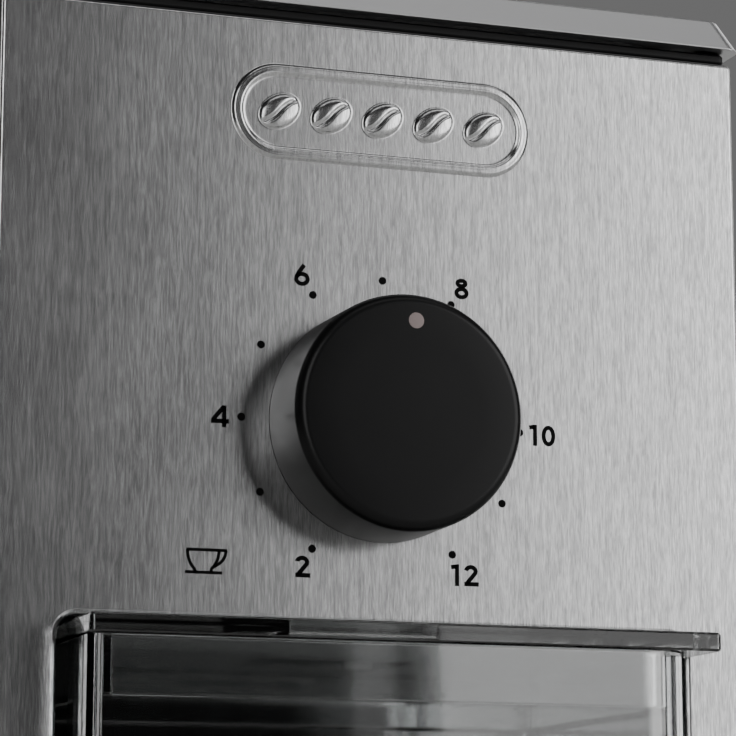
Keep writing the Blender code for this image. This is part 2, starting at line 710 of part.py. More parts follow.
def pulley(wheel, pinion):
    """The outline of a belt round two circles: the wheel's and the pinion's."""
    lean = math.degrees(math.acos((wheel - pinion) / (MOTOR_Y - BURR_Y)))
    points = arc((0, MOTOR_Y), pinion, 90 - lean, 90 + lean, 8)
    return points + arc((0, BURR_Y), wheel, 90 + lean, 450 - lean, 32)


def make_drive():
    """The burr shaft in its two bearings, with the wheel, the clip and the nut."""
    high = 196.6
    profile = [(0, high), (3.2, high), (4.0, high - 0.8), (4.0, 171.0), (4.0, 150.6), (0, 150.6)]
    shaft = turned("burr_shaft", "bright_steel", profile, (0, BURR_Y, 0), steps=20)
    pinion = involute_gear(PINION_TEETH, GEAR_MODULE, (0, MOTOR_Y), -90)
    wheel_phase = 90 + 180 / WHEEL_TEETH
    wheel = involute_gear(WHEEL_TEETH, GEAR_MODULE, (0, BURR_Y), wheel_phase, steps=1)
    gear = finish(add_prism(shape(), wheel, GEAR_LOW, GEAR_HIGH), "burr_gear", "white_nylon")
    dish = shape()
    for z in ((GEAR_LOW - 1, GEAR_LOW + 2.5), (GEAR_HIGH - 2.5, GEAR_HIGH + 1)):
        add_prism(dish, arc((0, BURR_Y), 27.5, 0, 348.75, 31), *z)
    cut(gear, dish)
    hub = add_rod(shape(), 8.0, (0, BURR_Y, GEAR_LOW), (0, BURR_Y, GEAR_HIGH), 24)
    join(gear, hub)
    bore = add_rod(shape(), 4.1, (0, BURR_Y, GEAR_LOW - 2), (0, BURR_Y, GEAR_HIGH + 2), 20)
    for i in range(6):
        angle = math.radians(60 * i + 30)
        x, y = 17.8 * math.cos(angle), BURR_Y + 17.8 * math.sin(angle)
        add_rod(bore, 4.6, (x, y, GEAR_LOW - 2), (x, y, GEAR_HIGH + 2), 16)
    cut(gear, bore)
    bearing("lower_bearing", CHASSIS_LOW, CHASSIS_HIGH, 4.05, 7.9)
    bearing("upper_bearing", 170.2, 174.0, 4.05, 6.2)
    profile = ring_profile(4.1, 6.4, 157.2, 158.0)
    clip = turned("shaft_clip", "bright_steel", profile, (0, BURR_Y, 0), steps=20)
    cut(clip, add_box(shape(), (2.0, 8.0), (BURR_Y - 1.2, BURR_Y + 1.2), (156, 159)))
    hexagon = add_rod(shape(), 6.6, (0, BURR_Y, 184.9), (0, BURR_Y, 189.6), 6)
    nut = finish(hexagon, "burr_nut", "bright_steel")
    cut(nut, add_rod(shape(), 4.1, (0, BURR_Y, 183), (0, BURR_Y, 192), 20))
    pinion = finish(add_prism(shape(), pinion, GEAR_LOW - 1, GEAR_HIGH + 1), "motor_pinion", "brass")
    cut(pinion, add_rod(shape(), 2.6, (0, MOTOR_Y, 150), (0, MOTOR_Y, 180), 16))
    return shaft, gear, clip, nut, pinion


def ring_profile(inner, outer, low, high):
    return [(outer, high), (outer, low), (inner, low), (inner, high)]


def bearing(name, low, high, inner, outer):
    turned(name, "brass", ring_profile(inner, outer, low, high), (0, BURR_Y, 0), steps=24)


def make_motor():
    """A can open below, its end cap with two brushes, and the rotor between them."""
    radius, at = MOTOR_RADIUS, (0, MOTOR_Y, 0)
    low, high = MOTOR_LOW, MOTOR_HIGH
    profile = [(radius, high), (radius, low), (radius - 1.6, low), (radius - 1.6, high - 1.6)]
    can = turned("motor_can", "zinc", profile + [(2.7, high - 1.6), (2.7, high)], at, steps=32)
    vents = shape()
    for i in range(4):
        add_box(vents, (20.0, 30.0), (-4.0, 4.0), (low + 52, low + 66))
        turn_verts(vents, vents.verts[-8:], 90 * i + 45, at[:2])
    cut(can, vents)
    profile = ring_profile(4.0, radius, low - 4, low - GAP)
    cap = turned("motor_end_cap", "black_plastic", profile, at, steps=32)
    spokes = shape()
    for i in range(4):
        add_box(spokes, (11.0, 21.0), (-3.5, 3.5), (low - 8, low + 3))
        turn_verts(spokes, spokes.verts[-8:], 90 * i + 45, at[:2])
    cut(cap, spokes)
    holders, bores = shape(), shape()
    for name, side in (("left", -1), ("right", 1)):
        y, z = (MOTOR_Y - 4.0, MOTOR_Y + 4.0), (low - 1.0, low + 9.0)
        add_box(holders, sorted((side * 9.6, side * 21.0)), y, z)
        y, z = (MOTOR_Y - 2.8, MOTOR_Y + 2.8), (low + 1.7, low + 7.3)
        add_box(bores, sorted((side * 8.0, side * 20.0)), y, z)
        y, z = (MOTOR_Y - 2.5, MOTOR_Y + 2.5), (low + 2.0, low + 7.0)
        bm = add_box(shape(), sorted((side * 8.3, side * 16.0)), y, z)
        finish(bm, "carbon_brush_" + name, "carbon")
        middle = 90 + side * 90
        edge = arc(at[:2], radius - 1.9, middle - 60, middle + 60, 10)
        edge += arc(at[:2], 19.4, middle + 60, middle - 60, 10)
        finish(add_prism(shape(), edge, low + 16, low + 66), "field_magnet_" + name, "carbon")
    join(cap, holders)
    cut(cap, bores)


def make_rotor():
    at, low = (0, MOTOR_Y, 0), MOTOR_LOW
    profile = [(0, 169.4), (2.0, 169.4), (2.5, 168.9), (2.5, 44.5), (0, 44.5)]
    shaft = turned("motor_shaft", "bright_steel", profile, at, steps=16)
    core = finish(
        add_rod(shape(), 18.5, (0, MOTOR_Y, low + 20), (0, MOTOR_Y, low + 62), 36), "armature", "copper"
    )
    slots = shape()
    for i in range(12):
        add_box(slots, (13.5, 20.0), (-1.2, 1.2), (low + 18, low + 64))
        turn_verts(slots, slots.verts[-8:], 30 * i, at[:2])
    cut(core, slots)
    ends = shape()
    for z in ((low + 14, low + 21), (low + 61, low + 68)):
        add_rod(ends, 13.0, (0, MOTOR_Y, z[0]), (0, MOTOR_Y, z[1]), 24)
    join(core, ends)
    cut(core, add_rod(shape(), 2.6, (0, MOTOR_Y, low), (0, MOTOR_Y, low + 90), 16))
    drum = turned("commutator", "copper", ring_profile(2.6, 8.0, low + 1.5, low + 12.5), at, steps=24)
    fan = turned("cooling_fan", "white_nylon", ring_profile(2.6, 7.0, 46.0, 56.0), at, steps=24)
    plate = add_rod(shape(), 22.0, (0, MOTOR_Y, 54.6), (0, MOTOR_Y, 56.2), 32)
    join(fan, plate)
    blades = shape()
    for i in range(7):
        add_box(blades, (6.0, 21.4), (-0.9, 0.9), (47.0, 55.4))
        turn_verts(blades, blades.verts[-8:], 360 / 7 * i, at[:2])
    join(fan, blades)
    cut(fan, add_rod(shape(), 2.6, (0, MOTOR_Y, 44), (0, MOTOR_Y, 58), 16))
    return shaft, core, drum, fan


# The way of the grounds -----------------------------------------------------

def make_chute():
    """A square duct from the chamber's window down into the bay's ceiling."""
    low, high = 149.8, 188.0
    bm = add_box(shape(), (-10.0, 10.0), CHUTE_Y, (low, high))
    chute = finish(bm, "grounds_chute", "grey_plastic")
    inner = add_box(shape(), (-8.5, 8.5), (CHUTE_Y[0] + 1.5, CHUTE_Y[1] - 1.5), (low - 2, high - 1.5))
    cut(chute, inner)
    x, z = (-8.5, 8.5), (CHAMBER_FLOOR + 3.2, CHAMBER_FLOOR + 11.9)
    cut(chute, add_box(shape(), x, (CHUTE_Y[1] - 3, CHUTE_Y[1] + 3), z))


# Controls and electrics -----------------------------------------------------

def make_cup_dial():
    at = (0, 0, DIAL_Z)
    front, back = -KNOB_FRONT, -KNOB_BACK
    round_over = [(KNOB_FACE_RADIUS - 1.6 + 1.6 * math.sin(a), front - 1.6 + 1.6 * math.cos(a))
                  for a in np.radians(np.linspace(0, 84, 5))]
    profile = [(0, front), *round_over, (KNOB_RADIUS, back), (KNOB_RADIUS - 2, back)]
    profile += [(KNOB_RADIUS - 2.4, front - 4), (5.6, front - 4), (5.2, back + 0.4)]
    profile += [(3.2, back + 0.4), (3.2, front - 5), (0, front - 5)]
    knob = turned("cup_knob", "soft_black", profile, at, axis="Y", steps=40)
    mark = Vector((math.cos(MARKER_ANGLE), 0, math.sin(MARKER_ANGLE))) * MARKER_REACH
    spot = Vector((mark.x, KNOB_FRONT, DIAL_Z + mark.z))
    inside = spot + Vector((0, 1.2, 0))
    cut(knob, add_rod(shape(), MARKER_RADIUS + 0.05, spot - Vector((0, 2, 0)), inside, 16))
    bm = add_rod(shape(), MARKER_RADIUS, spot, inside - Vector((0, 0.1, 0)), 16)
    marker = finish(bm, "knob_marker", "marker")
    tip = (0, KNOB_FRONT + 5.6, DIAL_Z)
    bm = add_rod(shape(), TIMER_SHAFT_RADIUS, tip, (0, -60.3, DIAL_Z), 20)
    shaft = finish(bm, "timer_shaft", "brass")
    return knob, marker, shaft


def make_timer():
    """The clockwork dose timer behind the front, held by two screws through the steel."""
    bm = add_rod(shape(), 15.0, (0, -63.9, DIAL_Z), (0, -43.0, DIAL_Z), 28)
    timer = finish(bm, "dose_timer", "zinc")
    holes = add_rod(shape(), 3.3, (0, -70, DIAL_Z), (0, -60.0, DIAL_Z), 20)
    for side in (-1, 1):
        x = side * TIMER_SCREW_X
        add_rod(holes, 1.5, (x, -70, DIAL_Z), (x, -57.5, DIAL_Z), 12)
    cut(timer, holes)
    for name, side in (("left", -1), ("right", 1)):
        profile = [(0, -PANEL_Y + 1.6), (2.4, -PANEL_Y + 1.4), (2.8, -PANEL_Y + 0.6)]
        profile += [(2.8, -PANEL_Y + 0.1), (1.3, -PANEL_Y + 0.1), (1.3, 58.0), (0, 58.0)]
        at = (side * TIMER_SCREW_X, 0, DIAL_Z)
        turned("timer_screw_" + name, "bright_steel", profile, at, axis="Y", steps=12)


def make_start_button():
    axis = (BUTTON_Y, BUTTON_Z)
    face = HALF_WIDTH - 0.3
    bm = add_rod(shape(), BUTTON_RADIUS, (55.0, *axis), (face, *axis), 32)
    button = finish(bm, "start_button", "soft_black")
    join(button, add_rod(shape(), BUTTON_RADIUS + 1.6, (59.0, *axis), (62.2, *axis), 32))
    cut(button, add_rod(shape(), 5.6, (50.0, *axis), (61.8, *axis), 24))
    join(button, add_rod(shape(), 1.8, (52.6, *axis), (62.5, *axis), 16))
    bm = add_box(shape(), (40.0, 49.6), (BUTTON_Y - 10, BUTTON_Y + 10), (BUTTON_Z - 6, BUTTON_Z + 6))
    switch = finish(bm, "start_switch", "black_plastic")
    join(switch, add_box(shape(), (39.0, 41.0), (-50.0, -26.0), (OPENING_TOP + BAY_WALL + GAP, 176.0)))
    coil("button_spring", 4.3, 0.35, Vector((50.1, *axis)), Vector((61.3, *axis)), 5)
    return button


def coil(name, radius, wire, start, end, turns):
    """A spring from start to end, along X or Y, with a flat turn at each end."""
    curve = bpy.data.curves.new(name, "CURVE")
    curve.dimensions = "3D"
    curve.bevel_depth = wire * TO_METRES
    curve.bevel_resolution = 0
    curve.use_fill_caps = True
    steps = 8
    count = turns * steps
    spline = curve.splines.new("POLY")
    spline.points.add(count)
    along = (end - start).normalized()
    side = along.cross(Vector((0, 0, 1)))
    for i, point in enumerate(spline.points):
        angle = 2 * math.pi * i / steps
        reach = start + (end - start) * i / count
        reach += radius * (math.cos(angle) * side + math.sin(angle) * Vector((0, 0, 1)))
        point.co = (*(reach * TO_METRES), 1)
    made = bpy.data.objects.new(name, curve)
    PARTS.objects.link(made)
    curve.materials.append(MATERIALS["bright_steel"])
    return made


def make_interlock():
    """The container's rear wall holds the pin back, and the pin holds the switch on."""
    pin = finish(
        add_rod(shape(), 2.2, (PIN_X, BIN_BACK + GAP, PIN_Z), (PIN_X, 8.6, PIN_Z), 16),
        "interlock_pin", "white_nylon",
    )
    join(pin, add_rod(shape(), 4.6, (PIN_X, -1.0, PIN_Z), (PIN_X, 0.4, PIN_Z), 20))
    x, z = (PIN_X - 7, PIN_X + 7), (PIN_Z - 8, PIN_Z + 8)
    switch = finish(add_box(shape(), x, (9.0, 18.0), z), "interlock_switch", "black_plastic")
    join(switch, add_box(shape(), x, (17.0, 19.4), (PIN_Z - 8, CHASSIS_LOW - GAP)))
    start, end = Vector((PIN_X, 0.9, PIN_Z)), Vector((PIN_X, 8.4, PIN_Z))
    coil("interlock_spring", 3.3, 0.3, start, end, 4)
    return pin


def make_electrics():
    board = finish(add_box(shape(), BOARD_X, (0.0, 1.6), BOARD_Z), "circuit_board", "board_green")
    chips = add_box(shape(), (-38.0, -20.0), (1.2, 12.0), (66.0, 82.0))
    add_box(chips, (-36.0, -26.0), (1.2, 8.0), (96.0, 120.0))
    add_box(chips, (-10.0, 6.0), (1.2, 9.0), (100.0, 112.0))
    add_rod(chips, 5.0, (-4.0, 1.2, 80.0), (-4.0, 16.0, 80.0), 16)
    join(board, chips)
    bm = add_box(shape(), (-52.0, -24.0), (40.0, 56.0), (6.8, 22.0))
    block = finish(bm, "terminal_block", "white_nylon")
    sockets = shape()
    for i in range(3):
        x = -46.0 + 8.0 * i
        add_box(sockets, (x - 2, x + 2), (50.0, 60.0), (12.0, 16.0))
        add_rod(sockets, 2.2, (x, 46.0, 17.0), (x, 46.0, 25.0), 12)
    cut(block, sockets)
    profile = [(4.9, 6.0), (4.9, -GAP), (8.0, -GAP), (8.0, -1.0), (3.4, -1.0), (3.4, 6.0)]
    turned("cord_gland", "rubber", profile, (GLAND_X, REAR_Y, GLAND_Z), axis="Y", steps=20)


def build():
    make_housing()
    make_base_plate()
    make_front_panel()
    make_bay()
    make_hopper()
    make_hopper_gasket()
    make_chamber()
    make_chute()
    make_chassis()
    make_gearbox_cover()
    make_motor()
    make_timer()
    make_electrics()
    hang("container_slide", (0, BIN_FRONT, 80), make_container(), make_container_lid())
    hang("hopper_lid_lift", (0, BURR_Y, TOP), make_hopper_lid())
    hang("cup_dial_axis", (0, KNOB_BACK, DIAL_Z), *make_cup_dial())
    shaft, gear, clip, nut, pinion = make_drive()
    hang("burr_axis", (0, BURR_Y, 0), shaft, gear, clip, nut, *make_lower_burr())
    hang("motor_axis", (0, MOTOR_Y, 0), pinion, *make_rotor())
    hang("upper_burr_axis", (0, BURR_Y, 198), *make_upper_burr())
    hang("adjust_ring_axis", (0, BURR_Y, RING_LOW), make_adjust_ring())
    hang("fineness_axis", (-HALF_WIDTH, BURR_Y, FINENESS_Z), *make_fineness_dial())
    hang("start_button_axis", (HALF_WIDTH, BUTTON_Y, BUTTON_Z), make_start_button())
    hang("interlock_axis", (PIN_X, BIN_BACK, PIN_Z), make_interlock())


build()
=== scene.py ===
import json
import math

import bmesh
import bpy
from mathutils import Matrix, Vector


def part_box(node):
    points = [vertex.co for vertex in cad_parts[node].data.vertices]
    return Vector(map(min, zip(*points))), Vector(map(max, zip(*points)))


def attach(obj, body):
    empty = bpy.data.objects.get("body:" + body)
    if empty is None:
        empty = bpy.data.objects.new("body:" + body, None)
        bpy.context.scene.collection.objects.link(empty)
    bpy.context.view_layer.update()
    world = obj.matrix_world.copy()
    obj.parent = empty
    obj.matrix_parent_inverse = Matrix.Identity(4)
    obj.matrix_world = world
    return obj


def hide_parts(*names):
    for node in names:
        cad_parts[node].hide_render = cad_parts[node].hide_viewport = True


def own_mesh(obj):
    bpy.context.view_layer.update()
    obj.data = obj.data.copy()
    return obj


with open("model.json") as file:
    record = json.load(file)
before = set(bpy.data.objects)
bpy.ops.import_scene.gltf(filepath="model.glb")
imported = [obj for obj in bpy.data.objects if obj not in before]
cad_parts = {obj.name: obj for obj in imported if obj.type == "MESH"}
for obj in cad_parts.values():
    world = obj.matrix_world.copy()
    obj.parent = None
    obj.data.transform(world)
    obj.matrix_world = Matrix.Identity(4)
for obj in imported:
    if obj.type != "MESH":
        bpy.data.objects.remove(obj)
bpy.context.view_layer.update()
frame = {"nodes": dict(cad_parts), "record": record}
mm = 0.001  # lengths below are in millimetres


def nodeBox(node):
    low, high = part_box(node)
    return Vector(low) / mm, Vector(high) / mm


panelLow, panelHigh = nodeBox("front_panel")
knobLow, knobHigh = nodeBox("cup_knob")
binLow, binHigh = nodeBox("grounds_container")
dialAt = Vector((0, -65.0, (knobLow.z + knobHigh.z) / 2))  # the middle of the cup scale, on the steel


# Materials


def newMaterial(name):
    made = bpy.data.materials.new(name)
    made.use_nodes = True
    tree = made.node_tree
    return made, tree, tree.nodes["Principled BSDF"]


def objectNoise(tree, scale, detail=3.0, rough=0.5):
    # scale is in repeats per metre, one number or one for each axis
    place = tree.nodes.new("ShaderNodeTexCoord")
    mapping = tree.nodes.new("ShaderNodeMapping")
    mapping.inputs["Scale"].default_value = scale if isinstance(scale, tuple) else (scale,) * 3
    speckle = tree.nodes.new("ShaderNodeTexNoise")
    speckle.inputs["Scale"].default_value = 1.0
    speckle.inputs["Detail"].default_value = detail
    speckle.inputs["Roughness"].default_value = rough
    tree.links.new(place.outputs["Object"], mapping.inputs["Vector"])
    tree.links.new(mapping.outputs["Vector"], speckle.inputs["Vector"])
    return speckle.outputs["Fac"]


def ranged(tree, value, low, high, start=0.3, end=0.7):
    spread = tree.nodes.new("ShaderNodeMapRange")
    spread.inputs["From Min"].default_value = start
    spread.inputs["From Max"].default_value = end
    spread.inputs["To Min"].default_value = low
    spread.inputs["To Max"].default_value = high
    tree.links.new(value, spread.inputs["Value"])
    return spread.outputs["Result"]


def tinted(tree, value, dark, light):
    blend = tree.nodes.new("ShaderNodeMix")
    blend.data_type = "RGBA"
    blend.inputs["A"].default_value = (*dark, 1)
    blend.inputs["B"].default_value = (*light, 1)
    tree.links.new(value, blend.inputs["Factor"])
    return blend.outputs["Result"]


def bumped(tree, shader, value, depth, strength=1.0):
    bump = tree.nodes.new("ShaderNodeBump")
    bump.inputs["Distance"].default_value = depth * mm
    bump.inputs["Strength"].default_value = strength
    tree.links.new(value, bump.inputs["Height"])
    tree.links.new(bump.outputs["Normal"], shader.inputs["Normal"])
    return bump


def plastic(name, colour, rough, grain=2500, depth=0.012, spread=0.06, gloss=0.5):
    # moulded plastic: a fine spark-eroded grain, and a slow change of gloss
    made, tree, shader = newMaterial(name)
    slow = objectNoise(tree, 45, 2)
    light = tuple(min(1, c * 1.18 + 0.002) for c in colour)
    tree.links.new(tinted(tree, slow, colour, light), shader.inputs["Base Color"])
    tree.links.new(ranged(tree, slow, rough - spread, rough + spread), shader.inputs["Roughness"])
    shader.inputs["Specular IOR Level"].default_value = gloss
    bumped(tree, shader, objectNoise(tree, grain, 2), depth)
    return made


def metal(name, colour, rough, grain=(300, 300, 300), depth=0.004, spread=0.08):
    # turned, ground or plated metal, with its marks along the axis that has the lowest scale
    made, tree, shader = newMaterial(name)
    shader.inputs["Metallic"].default_value = 1.0
    marks = objectNoise(tree, grain, 4, 0.6)
    dark = tuple(c * 0.88 for c in colour)
    tree.links.new(tinted(tree, marks, dark, colour), shader.inputs["Base Color"])
    tree.links.new(ranged(tree, marks, rough - spread, rough + spread), shader.inputs["Roughness"])
    bumped(tree, shader, marks, depth)
    return made


brushed = {
    "dark": (0.365, 0.365, 0.368),
    "light": (0.735, 0.735, 0.738),
    "fine": (4800, 4800, 420),  # hairlines, in repeats per metre
    "coarse": (1400, 1400, 90),
    "clouds": (70, 70, 45),
    "fineShare": 0.68,  # of the grain, with coarse marks as the rest
    "coarseShare": 0.32,
    "shadeRange": (0.35, 0.65),  # the part of the grain that goes from dark to light
    "rough": 0.203,
    "roughSpread": 0.008,
    "anisotropic": 0.5,
    "depth": 0.0012,
}


def brushedSteel():
    # vertical hairlines over slow clouds, with highlights drawn out across the grain
    made, tree, shader = newMaterial("brushedSteel")
    shader.inputs["Metallic"].default_value = 1.0
    fine = objectNoise(tree, brushed["fine"], 2, 0.6)
    coarse = objectNoise(tree, brushed["coarse"], 3, 0.6)
    lines = tree.nodes.new("ShaderNodeMath")
    lines.operation = "MULTIPLY_ADD"
    lines.inputs[1].default_value = brushed["fineShare"]
    tree.links.new(fine, lines.inputs[0])
    part = tree.nodes.new("ShaderNodeMath")
    part.operation = "MULTIPLY"
    part.inputs[1].default_value = brushed["coarseShare"]
    tree.links.new(coarse, part.inputs[0])
    tree.links.new(part.outputs[0], lines.inputs[2])
    grain = lines.outputs[0]
    shade = ranged(tree, grain, 0, 1, *brushed["shadeRange"])
    tree.links.new(tinted(tree, shade, brushed["dark"], brushed["light"]), shader.inputs["Base Color"])
    low, high = brushed["rough"] - brushed["roughSpread"], brushed["rough"] + brushed["roughSpread"]
    slow = objectNoise(tree, brushed["clouds"], 3, 0.55)
    tree.links.new(ranged(tree, slow, low, high), shader.inputs["Roughness"])
    shader.inputs["Anisotropic"].default_value = brushed["anisotropic"]
    tangent = tree.nodes.new("ShaderNodeTangent")
    tangent.direction_type = "RADIAL"
    tangent.axis = "Z"
    tree.links.new(tangent.outputs["Tangent"], shader.inputs["Tangent"])
    bumped(tree, shader, grain, brushed["depth"])
    return made


def clearPlastic(name, tint, rough, ior=1.49, coat=0.6):
    # polished styrene with faint wipe marks
    made, tree, shader = newMaterial(name)
    shader.inputs["Base Color"].default_value = (*tint, 1)
    shader.inputs["Transmission Weight"].default_value = 1.0
    shader.inputs["IOR"].default_value = ior
    shader.inputs["Coat Weight"].default_value = coat
    shader.inputs["Coat Roughness"].default_value = rough
    marks = objectNoise(tree, (60, 60, 25), 4, 0.65)
    tree.links.new(ranged(tree, marks, rough, rough + 0.05), shader.inputs["Roughness"])
    bumped(tree, shader, objectNoise(tree, 35, 1), 0.02, 0.6)
    return made


finishes = {
    "steel": brushedSteel(),
    "black_plastic": plastic("mouldedBlack", (0.012, 0.012, 0.013), 0.42),
    "soft_black": plastic(
        "softTouchBlack", (0.0035, 0.0035, 0.0037), 0.3, grain=4200, depth=0.002, spread=0.015, gloss=0.19
    ),
    "marker": plastic(
        "markerInlay", (0.24, 0.195, 0.19), 0.5, grain=3000, depth=0.008, spread=0.03, gloss=0.3
    ),
    "clear_plastic": clearPlastic("clearStyrene", (0.93, 0.94, 0.94), 0.015, 1.59),
    "lid_plastic": metal("silverLacquer", (0.52, 0.52, 0.525), 0.36, (5200, 5200, 5200), 0.002, 0.03),
    "grey_plastic": plastic("mouldedGrey", (0.16, 0.16, 0.17), 0.5),
    "burr_steel": metal("groundSteel", (0.50, 0.50, 0.51), 0.36, (800, 800, 4000)),
    "bright_steel": metal("turnedSteel", (0.68, 0.68, 0.69), 0.24, (400, 400, 5000)),
    "zinc": metal("zincPlate", (0.55, 0.56, 0.58), 0.40, (220, 220, 220)),
    "brass": metal("turnedBrass", (0.70, 0.50, 0.20), 0.28, (400, 400, 5000)),
    "copper": metal("lacqueredCopper", (0.70, 0.32, 0.16), 0.35, (3000, 3000, 300)),
    "white_nylon": plastic("naturalNylon", (0.70, 0.68, 0.62), 0.42, 1800, 0.01),
    "rubber": plastic("footRubber", (0.014, 0.014, 0.014), 0.8, 3000, 0.02),
    "board_green": plastic("boardLacquer", (0.02, 0.14, 0.06), 0.35, 1200, 0.02),
    "carbon": plastic("pressedCarbon", (0.03, 0.03, 0.032), 0.5, 5000, 0.01),
    # print, and black plastic that gets little light; the hopper's black and the recess black are copies
    # of the moulded black made darker as painted shade
    "ink": plastic(
        "printedInk", (0.002, 0.002, 0.002), 0.7, grain=5000, depth=0.002, spread=0.03, gloss=0.08
    ),
    "paleInk": plastic(
        "palePrint", (0.42, 0.42, 0.41), 0.6, grain=5000, depth=0.002, spread=0.03, gloss=0.2
    ),
    # painted shade: a darker, duller copy of the moulded black, so the hopper's flange in the gap under
    # the lid stays dark
    "hopperBlack": plastic(
        "hopperBlack", (0.005, 0.005, 0.0052), 0.5, grain=2500, depth=0.01, spread=0.04, gloss=0.25
    ),
    # painted shade: a darker, duller copy of the moulded black for the bay and the chute inside the recess
    "recess": plastic(
        "recessBlack", (0.003, 0.003, 0.0032), 0.6, grain=2500, depth=0.01, spread=0.04, gloss=0.12
    ),
}

slotOf = {part["node"]: part["material_slot"] for part in frame["record"]["subparts"]}
for node, piece in frame["nodes"].items():
    piece.data.materials.clear()
    piece.data.materials.append(finishes[slotOf[node]])
print("materials ready")


# Making pieces


def bodyOf(node):
    bodies = frame["record"]["behaviour"]["bodies"]
    return next(body for body, nodes in bodies.items() if node in nodes)


def sharpen(bm, limit=32):
    # smooth shading that breaks where the surface turns more than the limit
    for edge in bm.edges:
        flat = len(edge.link_faces) == 2 and edge.calc_face_angle(0) < math.radians(limit)
        edge.smooth = flat
    for face in bm.faces:
        face.smooth = True


def makePiece(name, bm, finish, node, replaced=True, scale=mm, limit=32, recalc=True):
    # a finished piece: its shape in metres, its finish, and the body it moves with
    bmesh.ops.scale(bm, vec=Vector((1, 1, 1)) * scale, verts=bm.verts)
    if recalc:
        bmesh.ops.recalc_face_normals(bm, faces=bm.faces)
    sharpen(bm, limit)
    mesh = bpy.data.meshes.new(name)
    bm.to_mesh(mesh)
    bm.free()
    mesh.materials.append(finishes[finish])
    piece = bpy.data.objects.new(name, mesh)
    bpy.context.scene.collection.objects.link(piece)
    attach(piece, bodyOf(node))
    if replaced:
        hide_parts(node)
    return piece


def roundEdges(piece, width, segments=3, angle=38):
    bevel = piece.modifiers.new("roundEdges", "BEVEL")
    bevel.limit_method = "ANGLE"
    bevel.angle_limit = math.radians(angle)
    bevel.width = width * mm
    bevel.segments = segments
    bevel.use_clamp_overlap = True
    shading = piece.modifiers.new("evenShading", "WEIGHTED_NORMAL")
    shading.weight = 80
    shading.keep_sharp = True
    return piece


def mergedCopy(node):
    # the node's own triangles, merged into whole faces
    bm = bmesh.new()
    bm.from_mesh(frame["nodes"][node].data)
    bmesh.ops.remove_doubles(bm, verts=bm.verts, dist=0.002 * mm)
    bmesh.ops.dissolve_limit(bm, angle_limit=math.radians(0.6), verts=bm.verts, edges=bm.edges)
    return bm


def softened(node, name, width, segments=2, finish=None, limit=32):
    # a piece that keeps the node's shape and has its edges rounded
    finish = finish or slotOf[node]
    piece = makePiece(name, mergedCopy(node), finish, node, scale=1, limit=limit, recalc=False)
    return roundEdges(piece, width, segments)


def ofKind(items, kind):
    return [item for item in items if isinstance(item, kind)]


def thicken(bm, by):
    # gives flat print its thickness
    grown = bmesh.ops.extrude_face_region(bm, geom=bm.faces[:], use_keep_orig=True)["geom"]
    bmesh.ops.translate(bm, vec=by, verts=ofKind(grown, bmesh.types.BMVert))


def printDot(bm, middle, turn, radius):
    place = Matrix.Translation(middle) @ turn
    bmesh.ops.create_circle(bm, cap_ends=True, segments=28, radius=radius, matrix=place)


def blockOf(x, y, z):
    bm = bmesh.new()
    bmesh.ops.create_cube(bm, size=1)
    bmesh.ops.scale(bm, vec=(x[1] - x[0], y[1] - y[0], z[1] - z[0]), verts=bm.verts)
    middle = ((x[0] + x[1]) / 2, (y[0] + y[1]) / 2, (z[0] + z[1]) / 2)
    bmesh.ops.translate(bm, vec=middle, verts=bm.verts)
    return bm


def bevelWhere(bm, test, width, segments):
    edges = [edge for edge in bm.edges if test(*(v.co for v in edge.verts))]
    bmesh.ops.bevel(
        bm, geom=edges, offset=width, segments=segments, affect="EDGES", profile=0.5, material=-1
    )


def spun(profile, centre, axis, steps=96):
    # profile is (radius, height) pairs; the height runs along the axis from the centre
    bm = bmesh.new()
    axis = Vector(axis)
    across = axis.orthogonal().normalized()
    points = [bm.verts.new(Vector(centre) + across * r + axis * h) for r, h in profile]
    edges = [bm.edges.new(pair) for pair in zip(points, points[1:])]
    bmesh.ops.spin(
        bm, geom=points + edges, cent=centre, axis=axis, angle=2 * math.pi, steps=steps, use_merge=True
    )
    bmesh.ops.remove_doubles(bm, verts=bm.verts, dist=0.001)
    return bm


def roundOver(radius, height, curve, steps=8, end=90):
    # the outer edge of a disc: from its flat top to its side
    angles = [math.radians(end * i / steps) for i in range(steps + 1)]
    return [(radius - curve + curve * math.sin(a), height - curve + curve * math.cos(a)) for a in angles]


# The steel front

steelFront = {
    "sheet": 0.7,
    "openingX": 53.5,
    "openingLow": 15.5,
    "openingHigh": 149.5,
    "corner": 3.0,
    "roll": 1.0,  # radius of the edge turned in round the recess
    "lipDepth": 2.6,
    "top": 249.45,
    "edgeRoll": 0.6,
    "edgeCorner": 0.05,
    "strip": 0.1,  # a flat border that keeps the shading of the whole face even
    "foldDepth": 0.9,
    "rollSteps": 6,
    "openingSteps": 8,  # in each corner of the opening, and of the outer edge
    "edgeSteps": 3,
}


def roundedLoop(bm, x, z, y, radius, segments):
    # the outline of an upright rounded rectangle, as edges only
    before = set(bm.edges)
    square = bmesh.ops.create_grid(bm, x_segments=1, y_segments=1, size=0.5)["verts"]
    bmesh.ops.rotate(bm, cent=(0, 0, 0), matrix=Matrix.Rotation(math.pi / 2, 3, "X"), verts=square)
    bmesh.ops.scale(bm, vec=(x[1] - x[0], 1, z[1] - z[0]), verts=square)
    bmesh.ops.translate(bm, vec=((x[0] + x[1]) / 2, y, (z[0] + z[1]) / 2), verts=square)
    bmesh.ops.bevel(
        bm, geom=square, offset=radius, segments=segments, affect="VERTICES", profile=0.5, material=-1
    )
    bmesh.ops.delete(bm, geom=bm.faces[:], context="FACES_ONLY")
    return [edge for edge in bm.edges if edge not in before]


